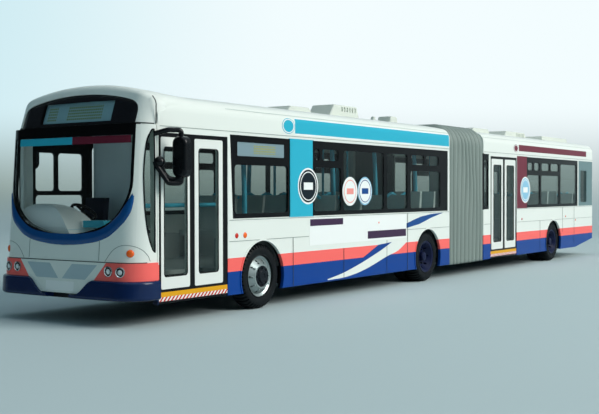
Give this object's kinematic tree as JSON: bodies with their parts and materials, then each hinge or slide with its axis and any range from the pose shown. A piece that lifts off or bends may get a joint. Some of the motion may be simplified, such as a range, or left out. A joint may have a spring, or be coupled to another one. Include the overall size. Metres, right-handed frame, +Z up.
{
  "type": "articulated bus model",
  "caption": "Small die-cast articulated bus: two hinged body sections joined by pleated bellows, on free-rolling axles.",
  "frame": {"origin": "on the floor under the middle of the bus, sections in line", "axes": "+X the way the bus drives, +Y its nearside with the doors, +Z up"},
  "size_m": [0.2338, 0.0411, 0.0426],
  "materials": {
    "shell_paint": "gloss enamel, off-white",
    "mask_paint": "moulded front, painted to match",
    "skirt_blue": "dark blue moulded corner",
    "clear": "clear moulded glazing",
    "dark_glass": "dark tinted glazing",
    "frame_black": "black printed surround",
    "display": "unlit display board",
    "lamp_lens": "clear lens",
    "tail_lens": "red lens",
    "door_white": "door leaf",
    "base_black": "baseplate, satin black",
    "floor_grey": "moulded interior",
    "seat_grey": "moulded saloon seats, pale grey",
    "cab_navy": "driver's seat",
    "pole_blue": "moulded grab poles",
    "cab_grey": "cab partition",
    "dash_grey": "cab moulding, pale grey with a teal tray",
    "mirror_black": "moulded mirror",
    "pod_white": "roof pod",
    "grille_black": "engine grille",
    "bellows_grey": "ribbed bellows",
    "pin_steel": "axle pin",
    "rim_silver": "silver rim",
    "rim_navy": "dark rim",
    "tyre": "soft tyre"
  },
  "bodies": {
    "front_section": {"front_body": "shell_paint", "front_mask": "mask_paint", "windscreen": "clear", "windscreen_seal": "frame_black", "destination_glass": "dark_glass", "destination_displays": "display", "front_bumper": "skirt_blue", "front_lamps": "lamp_lens", "front_window_frames": "frame_black", "front_glazing": "clear", "front_doors": "door_white", "front_door_frame": "frame_black", "front_chassis": "base_black", "front_floor": "floor_grey", "front_seats": "seat_grey", "front_poles": "pole_blue", "driver_seat": "cab_navy", "driver_partition": "cab_grey", "dashboard": "dash_grey", "steering_wheel": "mirror_black", "mirrors": "mirror_black", "front_roof_pods": "pod_white", "coupling_eye": "base_black"},
    "rear_section": {"rear_body": "shell_paint", "rear_window_frames": "frame_black", "rear_glazing": "clear", "rear_doors": "door_white", "rear_door_frame": "frame_black", "rear_chassis": "base_black", "rear_floor": "floor_grey", "rear_seats": "seat_grey", "rear_poles": "pole_blue", "rear_roof_pods": "pod_white", "rear_lamps": "tail_lens", "rear_grille": "grille_black", "coupling_link": "base_black", "bellows": "bellows_grey"},
    "front_axle": {"front_axle_pin": "pin_steel", "front_rims": "rim_silver", "front_tyres": "tyre"},
    "middle_axle": {"middle_axle_pin": "pin_steel", "middle_rims": "rim_navy", "middle_tyres": "tyre"},
    "rear_axle": {"rear_axle_pin": "pin_steel", "rear_rims": "rim_navy", "rear_tyres": "tyre"}
  },
  "joints": [
    {"name": "articulation", "type": "hinge", "parent": "front_section", "child": "rear_section", "pos_m": [-0.0102, 0, 0.0055], "axis": [0, 0, 1], "range_deg": [-45, 45], "deforming": ["bellows"]},
    {"name": "front_axle_roll", "type": "hinge", "parent": "front_section", "child": "front_axle", "pos_m": [0.0809, 0, 0.00615], "axis": [0, 1, 0], "continuous": true},
    {"name": "middle_axle_roll", "type": "hinge", "parent": "front_section", "child": "middle_axle", "pos_m": [0.0125, 0, 0.00615], "axis": [0, 1, 0], "continuous": true},
    {"name": "rear_axle_roll", "type": "hinge", "parent": "rear_section", "child": "rear_axle", "pos_m": [-0.0754, 0, 0.00615], "axis": [0, 1, 0], "continuous": true}
  ]
}
